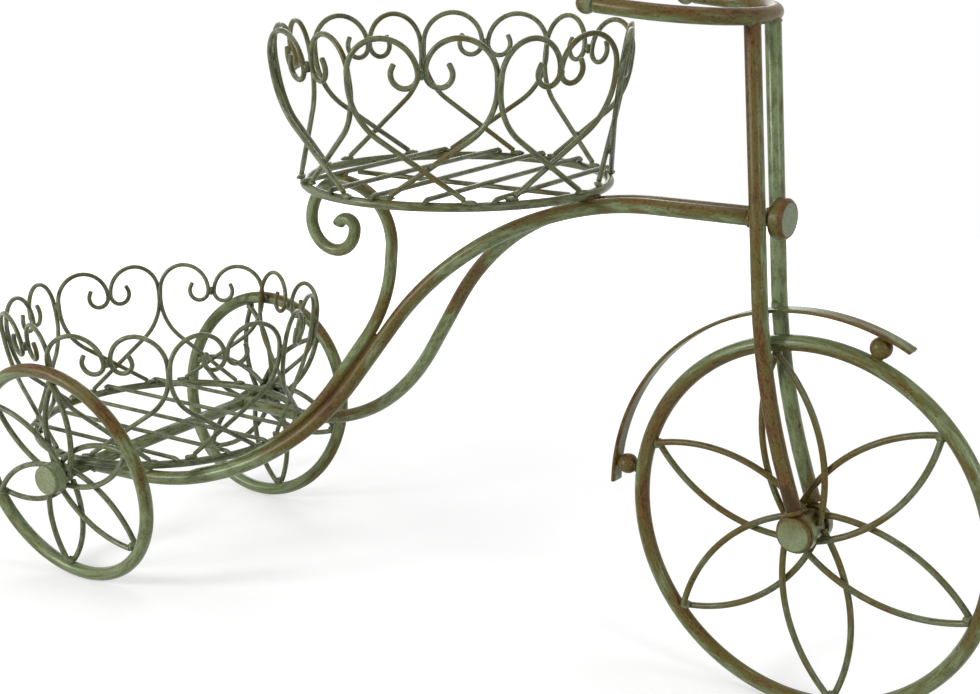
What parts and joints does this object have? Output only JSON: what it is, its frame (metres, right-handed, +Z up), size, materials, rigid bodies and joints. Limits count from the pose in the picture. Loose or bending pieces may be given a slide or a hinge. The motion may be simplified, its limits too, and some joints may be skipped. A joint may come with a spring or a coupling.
{
  "type": "plant rack",
  "caption": "Antique green wrought-iron plant stand shaped like a tricycle, with two round open wire baskets of scrolled hearts for flower pots.",
  "frame": {"origin": "on the floor, under the middle of the bounding box", "axes": "+X forward to the front wheel, +Y to the left side, +Z up"},
  "size_m": [0.9294, 0.3164, 0.5305],
  "materials": {
    "tube_paint": "antiqued green paint over rust brown, satin",
    "wire_paint": "antiqued olive green paint, satin",
    "cap_paint": "antiqued sage green paint, satin"
  },
  "bodies": {
    "stand": {"fork_leg_left": "tube_paint", "fork_leg_right": "tube_paint", "frame_tube_left": "tube_paint", "frame_tube_right": "tube_paint", "front_hub": "cap_paint", "front_hub_cap_left": "cap_paint", "front_hub_cap_right": "cap_paint", "front_petals": "wire_paint", "front_rim": "tube_paint", "grip_ball_left": "cap_paint", "grip_ball_right": "cap_paint", "handlebar": "tube_paint", "head_stud": "cap_paint", "lower_base_ring": "wire_paint", "lower_floor_wires": "wire_paint", "lower_heart_1": "wire_paint", "lower_heart_2": "wire_paint", "lower_heart_3": "wire_paint", "lower_heart_4": "wire_paint", "lower_heart_5": "wire_paint", "lower_heart_6": "wire_paint", "lower_heart_7": "wire_paint", "lower_heart_8": "wire_paint", "mudguard": "tube_paint", "mudguard_ball_front": "cap_paint", "mudguard_ball_rear": "cap_paint", "rear_axle": "tube_paint", "rear_hub_cap_left": "cap_paint", "rear_hub_cap_right": "cap_paint", "rear_hub_left": "cap_paint", "rear_hub_right": "cap_paint", "rear_petals_left": "wire_paint", "rear_petals_right": "wire_paint", "rear_rim_left": "tube_paint", "rear_rim_right": "tube_paint", "scroll_bracket": "tube_paint", "upper_base_ring": "wire_paint", "upper_cross_wire": "wire_paint", "upper_floor_wires": "wire_paint", "upper_heart_1": "wire_paint", "upper_heart_2": "wire_paint", "upper_heart_3": "wire_paint", "upper_heart_4": "wire_paint", "upper_heart_5": "wire_paint", "upper_heart_6": "wire_paint", "upper_heart_7": "wire_paint", "upper_heart_8": "wire_paint"},
    "knob": {"head_knob": "cap_paint"}
  },
  "joints": [
    {"name": "knob_turn", "type": "hinge", "parent": "stand", "child": "knob", "pos_m": [0.28835, 0.00265, 0.374], "axis": [0.9963, -0.0854, 0], "range_deg": [0, 720]}
  ]
}
